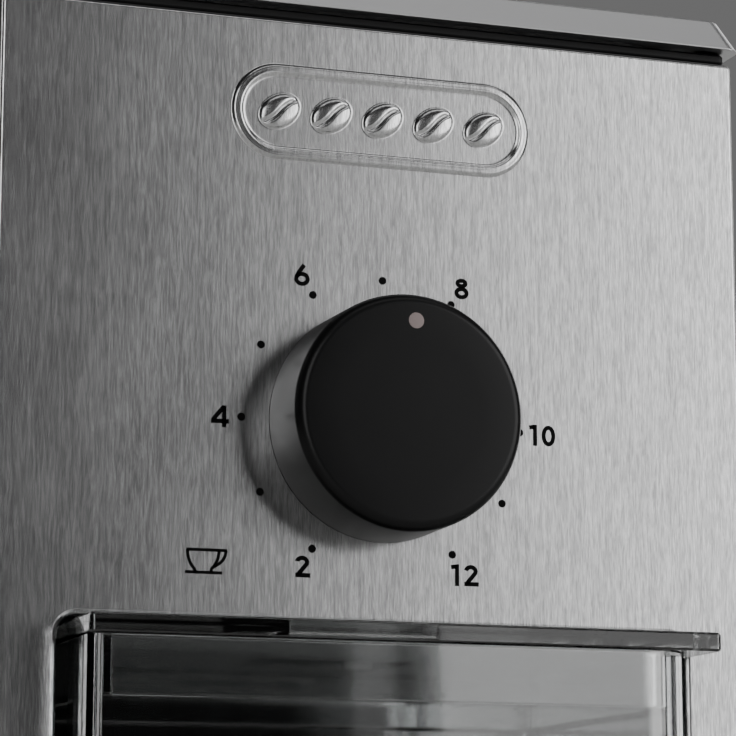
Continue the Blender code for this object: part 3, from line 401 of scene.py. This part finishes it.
def moveLoop(points, centre, half, across, back):
    # moves each point of an upright loop sideways along its own outward direction, and back
    for point in points:
        x, z = point.co.x - centre[0], point.co.z - centre[1]
        nearX = max(abs(x) - half[0], 0) * (1 if x > 0 else -1)
        nearZ = max(abs(z) - half[1], 0) * (1 if z > 0 else -1)
        away = Vector((nearX, 0, nearZ))
        if away.length > 0:
            point.co += away.normalized() * across
        point.co.y += back


def grownLoop(bm, edges, centre, half, across, back):
    grown = bmesh.ops.extrude_edge_only(bm, edges=edges)["geom"]
    moveLoop(ofKind(grown, bmesh.types.BMVert), centre, half, across, back)
    return ofKind(grown, bmesh.types.BMEdge)


def rolledLoop(bm, edges, centre, half, radius, outward):
    # rolls a loop of edges backwards through a quarter circle; outward is 1, or -1 towards the centre
    across = back = 0.0
    for i in range(1, steelFront["rollSteps"] + 1):
        angle = math.radians(90 * i / steelFront["rollSteps"])
        lastAcross, lastBack = across, back
        across, back = radius * math.sin(angle), radius * (1 - math.cos(angle))
        edges = grownLoop(bm, edges, centre, half, outward * (across - lastAcross), back - lastBack)
    return edges


def makeSteelFront():
    s = steelFront
    bm = bmesh.new()
    y, strip = panelLow.y, s["strip"]
    grow = s["roll"] + strip
    low, high, sides = s["openingLow"] - grow, s["openingHigh"] + grow, s["openingX"] + grow
    hole = roundedLoop(bm, (-sides, sides), (low, high), y, s["corner"] + grow, s["openingSteps"])
    edge, roll, corner = panelHigh.x, s["edgeRoll"], s["edgeCorner"]
    inset = roll + strip
    x = (-edge + inset, edge - inset)
    z = (panelLow.z + inset, s["top"] - inset)
    rim = roundedLoop(bm, x, z, y, corner, s["edgeSteps"])
    bmesh.ops.triangle_fill(bm, edges=hole + rim, use_beauty=True, use_dissolve=True)
    centre = (0, (low + high) / 2)
    half = (sides - s["corner"] - grow, (high - low) / 2 - s["corner"] - grow)
    hole = grownLoop(bm, hole, centre, half, -strip, 0)
    hole = rolledLoop(bm, hole, centre, half, s["roll"], -1)
    grownLoop(bm, hole, centre, half, 0, s["lipDepth"] - s["roll"])
    centre = (0, (z[0] + z[1]) / 2)
    half = (x[1] - corner, (z[1] - z[0]) / 2 - corner)
    rim = grownLoop(bm, rim, centre, half, strip, 0)
    rim = rolledLoop(bm, rim, centre, half, roll, 1)
    grownLoop(bm, rim, centre, half, 0, s["foldDepth"] - roll)
    bmesh.ops.recalc_face_normals(bm, faces=bm.faces)
    front = max(bm.faces, key=lambda face: face.calc_area())
    if front.normal.y > 0:
        bmesh.ops.reverse_faces(bm, faces=bm.faces)
    piece = makePiece("steelFront", bm, "steel", "front_panel", recalc=False)
    wall = piece.modifiers.new("sheet", "SOLIDIFY")
    wall.thickness = s["sheet"] * mm
    wall.offset = -1
    return piece


badge = {
    "above": 51.4,  # over the middle of the cup scale
    "halfLength": 26.3,
    "halfHeight": 8.25,
    "band": 1.9,
    "bandHigh": 0.42,
    "floorHigh": 0.12,
    "lipHigh": 0.08,  # the band's inner lip
    "border": 0.6,
    "sunk": 0.03,  # how far the border lies under the steel
    "sheet": 0.25,
    "step": 0.2,  # between the points of the pressed surface
    "beans": 5,
    "beanPitch": 9.0,
    "beanLong": 3.9,
    "beanWide": 2.75,
    "beanHigh": 0.75,
    "beanTilt": 32,
    "creaseBend": 0.42,
    "creaseWide": 0.34,
    "creaseDeep": 0.62,  # as a part of the bean's height
}


def smoothStep(value, low, high):
    t = min(max((value - low) / (high - low), 0), 1)
    return t * t * (3 - 2 * t)


def beanHeight(x, z):
    # half a coffee bean, with its bent crease
    turn = math.radians(badge["beanTilt"])
    along = x * math.cos(turn) + z * math.sin(turn)
    across = -x * math.sin(turn) + z * math.cos(turn)
    reach = math.hypot(along / badge["beanLong"], across / badge["beanWide"])
    if reach >= 1:
        return 0.0
    dome = math.sqrt(1 - reach * reach) * smoothStep(1 - reach, 0, 0.12)
    crease = across - badge["creaseBend"] * math.sin(along * math.pi / badge["beanLong"] * 0.9)
    groove = math.exp(-((crease / badge["creaseWide"]) ** 2)) * smoothStep(1 - reach, 0.0, 0.25)
    return badge["beanHigh"] * (dome - badge["creaseDeep"] * groove * dome)


def badgeHeight(x, z):
    flatHalf = badge["halfLength"] - badge["halfHeight"]
    inside = badge["halfHeight"] - math.hypot(max(abs(x) - flatHalf, 0), z)
    if inside <= 0:
        return -badge["sunk"]
    band = badge["band"]
    outer = smoothStep(inside, 0, 0.7)
    inner = smoothStep(inside, band - 0.35, band + 0.45)
    high = badge["bandHigh"] * outer - (badge["bandHigh"] - badge["floorHigh"]) * inner
    high += badge["lipHigh"] * math.exp(-(((inside - band + 0.35) / 0.25) ** 2))
    for i in range(badge["beans"]):
        middle = (i - (badge["beans"] - 1) / 2) * badge["beanPitch"]
        if abs(x - middle) < badge["beanPitch"]:
            high += beanHeight(x - middle, z)
    return high - badge["sunk"] * (1 - smoothStep(inside, 0, 0.1))


def makeBadge():
    # the pressed surface rises out of the flat steel, and its border lies just under it
    long, tall = badge["halfLength"] + badge["border"], badge["halfHeight"] + badge["border"]
    bm = bmesh.new()
    columns, rows = round(2 * long / badge["step"]), round(2 * tall / badge["step"])
    bmesh.ops.create_grid(bm, x_segments=columns, y_segments=rows, size=0.5)
    bmesh.ops.scale(bm, vec=(2 * long, 2 * tall, 1), verts=bm.verts)
    for point in bm.verts:
        x, z = point.co.x, point.co.y
        point.co = (x, panelLow.y - badgeHeight(x, z), dialAt.z + badge["above"] + z)
    bmesh.ops.recalc_face_normals(bm, faces=bm.faces)
    if next(iter(bm.faces)).normal.y > 0:
        bmesh.ops.reverse_faces(bm, faces=bm.faces)
    piece = makePiece("pressedBadge", bm, "steel", "front_panel", replaced=False, limit=80, recalc=False)
    wall = piece.modifiers.new("sheet", "SOLIDIFY")
    wall.thickness = badge["sheet"] * mm
    wall.offset = -1
    return piece


# The printed cup scale

cupScale = {
    "ring": 24.1,
    "dot": 0.66,
    "figureHigh": 3.55,
    "figureGap": 0.22,  # as a part of the height
    "stroke": 0.71,
    "ink": 0.025,  # how far the print stands proud
    "firstAngle": 240,
    "stepAngle": 30,
    "stops": 11,
}


def bend(cx, cz, rx, rz, start, end, steps=20):
    angles = [math.radians(start + (end - start) * i / steps) for i in range(steps + 1)]
    return [(cx + rx * math.cos(a), cz + rz * math.sin(a)) for a in angles]


# strokes of each figure in a box one high, as (points, closed)
figures = {
    "0": (0.70, [(bend(0.35, 0.5, 0.245, 0.393, 0, 360, 36)[:-1], True)]),
    "1": (0.40, [([(0.29, 0.0), (0.29, 1.0)], False), ([(0.0, 0.86), (0.27, 0.905)], False)]),
    "2": (0.74, [(bend(0.35, 0.70, 0.235, 0.193, 172, -38) + [(0.14, 0.12)], False),
                 ([(0.03, 0.107), (0.74, 0.107)], False)]),
    "4": (0.84, [([(0.62, 0.0), (0.62, 1.0)], False), ([(0.60, 0.95), (0.09, 0.33)], False),
                 ([(0.0, 0.28), (0.84, 0.28)], False)]),
    "6": (0.77, [(bend(0.385, 0.34, 0.275, 0.234, 0, 360, 36)[:-1], True),
                 ([(0.12, 0.42), (0.24, 0.66), (0.49, 1.0)], False)]),
    "8": (0.73, [(bend(0.365, 0.765, 0.20, 0.133, 0, 360, 30)[:-1], True),
                 (bend(0.365, 0.30, 0.256, 0.195, 0, 360, 36)[:-1], True)]),
}


def strokeSides(points, i, width, closed):
    # the two edges of a pen stroke at one of its points
    count = len(points)
    before = points[i - 1] if i or closed else None
    after = points[(i + 1) % count] if i + 1 < count or closed else None
    here = Vector(points[i])
    ways = []
    if before is not None:
        ways.append((here - Vector(before)).normalized())
    if after is not None:
        ways.append((Vector(after) - here).normalized())
    way = sum(ways, Vector((0, 0))).normalized()
    side = Vector((-way.y, way.x))
    lean = abs(ways[0].dot(way))
    reach = width / 2 / max(lean, 0.6)  # a bend keeps its width, and a sharp one stays short
    return here + side * reach, here - side * reach


def inkStroke(bm, points, width, y, closed=False):
    pairs = [strokeSides(points, i, width, closed) for i in range(len(points))]
    if closed:
        pairs.append(pairs[0])
    places = [[Vector((p.x, y, p.y)) for p in pair] for pair in pairs]
    edge = bm.edges.new([bm.verts.new(place) for place in places[0]])
    for here, there in zip(places, places[1:]):
        grown = bmesh.ops.extrude_edge_only(bm, edges=[edge])["geom"]
        for point in ofKind(grown, bmesh.types.BMVert):
            near = (point.co - here[0]).length < (point.co - here[1]).length
            point.co = there[0] if near else there[1]
        edge = next(
            item for item in ofKind(grown, bmesh.types.BMEdge) if all(v.co in there for v in item.verts)
        )


def inkFigure(bm, text, x, z, y):
    # figures set side by side around the middle of (x, z)
    high, gap = cupScale["figureHigh"], cupScale["figureGap"]
    wide = sum(figures[sign][0] for sign in text) + gap * (len(text) - 1)
    pen = x - wide * high / 2
    for sign in text:
        width, strokes = figures[sign]
        for points, closed in strokes:
            placed = [(pen + px * high, z + (pz - 0.5) * high) for px, pz in points]
            inkStroke(bm, placed, cupScale["stroke"], y, closed)
        pen += (width + gap) * high


cupSign = {  # its place from the middle of the scale; the rest is from its own middle
    "x": -30.1,
    "saucerZ": -25.35,
    "rimZ": -21.75,
    "stroke": 0.5,
    "saucer": (-3.05, 3.05),
    "rim": (-2.85, 3.85),
    "bowlMiddle": -0.2,
    "bowlRadii": (2.5, 2.7),  # left and right
    "bowlTurn": 56,
    "foot": (-1.3, 1.2),
    "handleMiddle": 1.1,
    "handleRadius": 2.55,
    "handleTurn": 62,
    "handleHigh": 0.72,  # as a part of the bowl's height
    "handleEnd": (1.7, 0.74),
}
figurePlaces = {  # x and z from the middle of the scale
    "2": (-13.65, -23.8), "4": (-27.65, -0.1), "6": (-13.95, 24.0),
    "8": (13.95, 23.7), "10": (28.2, -0.3), "12": (14.25, -24.2),
}


def inkCup(bm, y):
    c, pen, x = cupSign, cupSign["stroke"], cupSign["x"]
    base, rim = dialAt.z + c["saucerZ"], dialAt.z + c["rimZ"]
    high = rim - base
    for level, ends in ((base, c["saucer"]), (rim, c["rim"])):
        inkStroke(bm, [(x + end, level) for end in ends], pen, y)
    middle, (leftRadius, rightRadius) = x + c["bowlMiddle"], c["bowlRadii"]
    left = bend(middle, rim, leftRadius, high, 180, 180 + c["bowlTurn"], 8)
    right = bend(middle, rim, rightRadius, high, 0, -c["bowlTurn"], 8)
    for side, foot in ((left, c["foot"][0]), (right, c["foot"][1])):
        inkStroke(bm, side + [(x + foot, base)], pen, y)
    handle = bend(
        x + c["handleMiddle"], rim, c["handleRadius"], high * c["handleHigh"], 0, -c["handleTurn"], 8
    )
    endX, endLow = c["handleEnd"]
    inkStroke(bm, handle + [(x + endX, rim - high * endLow)], pen, y)


def makeCupScale():
    c, y = cupScale, panelLow.y
    bm = bmesh.new()
    for text, (x, z) in figurePlaces.items():
        inkFigure(bm, text, x, dialAt.z + z, y)
    inkCup(bm, y)
    for i in range(c["stops"]):
        angle = math.radians(c["firstAngle"] - c["stepAngle"] * i)
        middle = (c["ring"] * math.cos(angle), y, dialAt.z + c["ring"] * math.sin(angle))
        printDot(bm, middle, Matrix.Rotation(math.pi / 2, 4, "X"), c["dot"])
    for face in bm.faces:
        face.normal_update()
    wrong = [face for face in bm.faces if face.normal.y > 0]
    bmesh.ops.reverse_faces(bm, faces=wrong)
    thicken(bm, (0, -c["ink"], 0))
    return makePiece("cupScale", bm, "ink", "front_panel", replaced=False)


makeSteelFront()
makeBadge()
makeCupScale()
print("steel front made")


# The cup knob

knob = {
    "faceRadius": 19.2,
    "baseRadius": 19.4,
    "roundFace": 1.8,
    "dome": 0.12,
    "skirt": 1.8,
    "draft": 0.3,
    "foot": 0.45,  # the shadow gap over the steel
    "footBevel": 0.25,
    "faceThick": 4.0,
    "hollow": 6.0,  # radius where the hollow meets the hub
    "hubTop": (5.4, 5.0),  # radius, and depth under the face
    "hubFoot": (5.0, 0.5),  # radius, and height over the knob's foot
    "bore": (3.3, 5.2),  # radius, and depth of its end under the face
    "markAngle": 87.3,
    "markReach": 14.7,
    "markRadius": 1.33,
    "markSeat": 0.02,  # over the knob's face
    "markHigh": 0.06,
    "markRound": 0.12,
    "markDeep": 0.8,
}


def makeKnob():
    k = knob
    front, back = -knobLow.y, -dialAt.y + k["foot"]
    inner, under, bevel = k["baseRadius"] - k["skirt"], front - k["faceThick"], k["footBevel"]
    dish = [(0, front), (6, front - k["dome"] * 0.16), (12, front - k["dome"] * 0.6)]
    rim = roundOver(k["faceRadius"], front - k["dome"], k["roundFace"], 10, 87)
    foot = [(k["baseRadius"], back + bevel), (k["baseRadius"] - bevel, back)]
    side = [(inner, back), (inner - k["draft"], under), (k["hollow"], under)]
    (topRadius, topDeep), (footRadius, footHigh), (bore, boreDeep) = k["hubTop"], k["hubFoot"], k["bore"]
    hub = [(topRadius, front - topDeep), (footRadius, back + footHigh), (bore, back + footHigh)]
    hub += [(bore, front - boreDeep), (0, front - boreDeep)]
    bm = spun(dish + rim + foot + side + hub, (0, 0, dialAt.z), (0, -1, 0), 144)
    makePiece("cupKnob", bm, "soft_black", "cup_knob", limit=40)
    angle = math.radians(k["markAngle"])
    middle = Vector((math.cos(angle) * k["markReach"], 0, dialAt.z + math.sin(angle) * k["markReach"]))
    seat = front - k["dome"] + k["markSeat"]
    high, low = seat + k["markHigh"], seat - k["markDeep"]
    rim = roundOver(k["markRadius"], high, k["markRound"], 4)
    bm = spun([(0, high), *rim, (k["markRadius"], low), (0, low)], middle, (0, -1, 0), 48)
    makePiece("knobDot", bm, "marker", "knob_marker", limit=50)


makeKnob()
print("cup knob made")


# The grounds container and its lid

container = {
    "wall": 1.6,
    "corners": (2.2, 9.5, 4.0, 4.0),  # front left, front right, rear left, rear right
    "bottom": 2.5,
    "leastInside": 0.9,  # radius of the sharpest corner inside
    "bottomLess": 0.9,  # how much less the bottom edge is rounded inside
    "rim": 0.45,
}


def isUpright(a, b):
    return abs(a.z - b.z) > 1 and (a - b).xy.length < 0.01


def openBox(x, y, z, radii, bottom):
    # a box without a top, with its upright corners and its bottom edge rounded
    bm = blockOf(x, y, z)
    corners = ((x[0], y[0]), (x[1], y[0]), (x[0], y[1]), (x[1], y[1]))
    for (cornerX, cornerY), radius in zip(corners, radii):
        bevelWhere(
            bm,
            lambda a, b: isUpright(a, b) and abs(a.x - cornerX) < 0.01 and abs(a.y - cornerY) < 0.01,
            radius, 10,
        )
    bevelWhere(bm, lambda a, b: max(a.z, b.z) < z[0] + 0.01, bottom, 5)
    top = [face for face in bm.faces if face.normal.z > 0.99 and face.calc_center_median().z > z[1] - 0.01]
    bmesh.ops.delete(bm, geom=top, context="FACES_ONLY")
    return bm


def makeContainer():
    c = container
    wall = c["wall"]
    x, y, z = (binLow.x, binHigh.x), (binLow.y, binHigh.y), (binLow.z, binHigh.z)
    bm = openBox(x, y, z, c["corners"], c["bottom"])
    inside = openBox(
        (x[0] + wall, x[1] - wall), (y[0] + wall, y[1] - wall), (z[0] + wall, z[1]),
        [max(radius - wall, c["leastInside"]) for radius in c["corners"]], c["bottom"] - c["bottomLess"],
    )
    held = bpy.data.meshes.new("inside")
    inside.to_mesh(held)
    inside.free()
    bm.from_mesh(held)
    bpy.data.meshes.remove(held)
    bmesh.ops.bridge_loops(bm, edges=[edge for edge in bm.edges if edge.is_boundary])
    piece = makePiece("groundsContainer", bm, "clear_plastic", "grounds_container")
    return roundEdges(piece, c["rim"], 3, 60)


makeContainer()
softened("container_lid", "containerLid", 0.5, 3)
print("container made")


# Casing, hopper, feet and side controls, with their edges rounded

softened("main_housing", "mainHousing", 0.5, 3)
# the bay takes the recess black, painted shade
softened("container_bay", "containerBay", 0.4, 2, "recess")
softened("base_plate", "basePlate", 0.5, 2)
# the hopper takes its darker black, painted shade in the gap under the lid
softened("bean_hopper", "beanHopper", 0.4, 2, "hopperBlack")
softened("hopper_lid", "hopperLid", 0.22, 3, limit=24)
softened("fineness_dial", "finenessDial", 0.6, 3)
softened("start_button", "startButton", 0.6, 3)
softened("cord_gland", "cordGland", 0.3, 2)
softened("grinding_chamber", "grindingChamber", 0.3, 2)
softened("upper_burr_carrier", "upperBurrCarrier", 0.4, 2)
# the chute takes the recess black, painted shade
softened("grounds_chute", "groundsChute", 0.3, 2, "recess")
for node in frame["nodes"]:
    if node.startswith("rubber_foot_"):
        softened(node, "foot" + node[len("rubber_foot"):].title().replace("_", ""), 0.4, 2)


sideControls = {
    "ring": 20.2,  # radius of the printed arc round the fineness dial
    "firstAngle": 210,
    "lastAngle": -30,
    "dots": 9,
    "fine": 0.45,  # radius of the first dot and of the last
    "coarse": 1.15,
    "proud": 0.02,
    "ringOuter": 5.6,  # the raised ring on the start button
    "ringWide": 0.7,
    "ringHigh": 0.3,
    "ringSunk": 0.2,
    "ringRound": 0.18,
    "travel": 2.5,  # how far the start button presses its spring together
}


def makeFinenessScale():
    # dots that grow from fine to coarse, printed round the dial on the left side
    m = sideControls
    low, high = nodeBox("fineness_dial")
    y, z = (low.y + high.y) / 2, (low.z + high.z) / 2
    x = nodeBox("main_housing")[0].x
    bm = bmesh.new()
    for i in range(m["dots"]):
        part = i / (m["dots"] - 1)
        angle = math.radians(m["firstAngle"] + (m["lastAngle"] - m["firstAngle"]) * part)
        middle = (x - m["proud"], y - m["ring"] * math.cos(angle), z + m["ring"] * math.sin(angle))
        radius = m["fine"] + (m["coarse"] - m["fine"]) * part
        printDot(bm, middle, Matrix.Rotation(-math.pi / 2, 4, "Y"), radius)
    thicken(bm, (2 * m["proud"], 0, 0))
    return makePiece("finenessScale", bm, "paleInk", "main_housing", replaced=False)


def makeButtonRing():
    m = sideControls
    low, high = nodeBox("start_button")
    centre = (high.x - m["ringSunk"], (low.y + high.y) / 2, (low.z + high.z) / 2)
    outer, inner, tall = m["ringOuter"], m["ringOuter"] - m["ringWide"], m["ringHigh"] + m["ringSunk"]
    shoulder, curve = tall * 0.6, m["ringRound"]
    profile = [(outer, 0), (outer, shoulder), (outer - curve, tall), (inner + curve, tall)]
    profile += [(inner, shoulder), (inner, 0), (outer, 0)]
    bm = spun(profile, centre, (1, 0, 0), 72)
    return makePiece("buttonRing", bm, slotOf["start_button"], "start_button", replaced=False, limit=60)


def makeButtonSpring():
    node = "button_spring"
    piece = makePiece("buttonSpring", mergedCopy(node), slotOf[node], node, scale=1, recalc=False)
    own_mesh(piece)
    return piece


makeFinenessScale()
makeButtonRing()
makeButtonSpring()
print("casing made")


# The stage, the light and the camera

stage = {
    "floorSize": 14.0,  # in metres, as are the lights' distances
    "floorColour": (0.62, 0.62, 0.61),
    "lightsAim": (5, -80, 170),  # where all the lights point, in millimetres
    "backdrop": 0.15,  # what the camera sees beyond the floor
    "surroundings": 0.008,  # what the pieces see beyond the lights
}


def makeFloor():
    bm = bmesh.new()
    bmesh.ops.create_grid(bm, x_segments=1, y_segments=1, size=stage["floorSize"] / 2)
    mesh = bpy.data.meshes.new("floor")
    bm.to_mesh(mesh)
    bm.free()
    mesh.materials.append(plastic("paleFloor", stage["floorColour"], 0.6, 400, 0.02))
    floor = bpy.data.objects.new("floor", mesh)
    bpy.context.scene.collection.objects.link(floor)


softboxes = {  # azimuths from the front towards +X, elevations, distance and brightness
    "keyBox": ((32, 66), (-3, 33), 3.0, 3.5),
    "frontBox": ((20.4, 31.8), (-3, 33), 3.0, 1.4),
    "windowBox": ((18.5, 19.5), (2, 20), 3.0, 0.35),
    "leftBox": ((-34, -14), (-3, 34), 2.4, 3.3),
    "sideBox": ((-135, -105), (5, 45), 2.4, 2.0),
    "rightBox": ((112, 140), (5, 45), 2.6, 2.0),
    "topBox": ((0, 50), (52, 70), 2.4, 1.1),
    "rearBox": ((155, 200), (25, 60), 2.6, 2.2),
}


def makeLights():
    target = Vector(stage["lightsAim"]) * mm
    for name, ((left, right), (low, high), distance, bright) in softboxes.items():
        data = bpy.data.lights.new(name, "AREA")
        data.shape = "RECTANGLE"
        data.size = 2 * distance * math.tan(math.radians(right - left) / 2)
        data.size_y = 2 * distance * math.tan(math.radians(high - low) / 2)
        data.energy = bright * math.pi * data.size * data.size_y
        lamp = bpy.data.objects.new(name, data)
        turn, rise = math.radians((left + right) / 2), math.radians((low + high) / 2)
        away = Vector((math.sin(turn) * math.cos(rise), -math.cos(turn) * math.cos(rise), math.sin(rise)))
        lamp.location = target + away * distance
        lamp.rotation_euler = away.to_track_quat("Z", "Y").to_euler()
        lamp.visible_camera = False
        bpy.context.scene.collection.objects.link(lamp)


def makeWorld():
    world = bpy.data.worlds.new("studio")
    world.use_nodes = True
    tree = world.node_tree
    path = tree.nodes.new("ShaderNodeLightPath")
    strength = tree.nodes.new("ShaderNodeMapRange")
    strength.inputs["To Min"].default_value = stage["surroundings"]
    strength.inputs["To Max"].default_value = stage["backdrop"]
    tree.links.new(path.outputs["Is Camera Ray"], strength.inputs["Value"])
    sky = tree.nodes["Background"]
    sky.inputs["Color"].default_value = (1, 1, 1, 1)
    tree.links.new(strength.outputs["Result"], sky.inputs["Strength"])
    bpy.context.scene.world = world


view = {
    "lens": 141.3,
    "yaw": 19.05,  # from straight ahead towards +X
    "pitch": 10.65,
    "fromDial": (-154.35, -440.17, -78.17),  # the camera's place from the middle of the cup scale
}


def makeCamera():
    data = bpy.data.cameras.new("mainCamera")
    data.lens = view["lens"]
    data.clip_start = 0.01
    camera = bpy.data.objects.new("mainCamera", data)
    camera.location = (dialAt + Vector(view["fromDial"])) * mm
    turn, rise = math.radians(view["yaw"]), math.radians(view["pitch"])
    ahead = Vector((math.sin(turn) * math.cos(rise), math.cos(turn) * math.cos(rise), math.sin(rise)))
    camera.rotation_euler = ahead.to_track_quat("-Z", "Y").to_euler()
    bpy.context.scene.collection.objects.link(camera)
    bpy.context.scene.camera = camera


makeFloor()
makeLights()
makeWorld()
makeCamera()
print("stage, light and camera set")
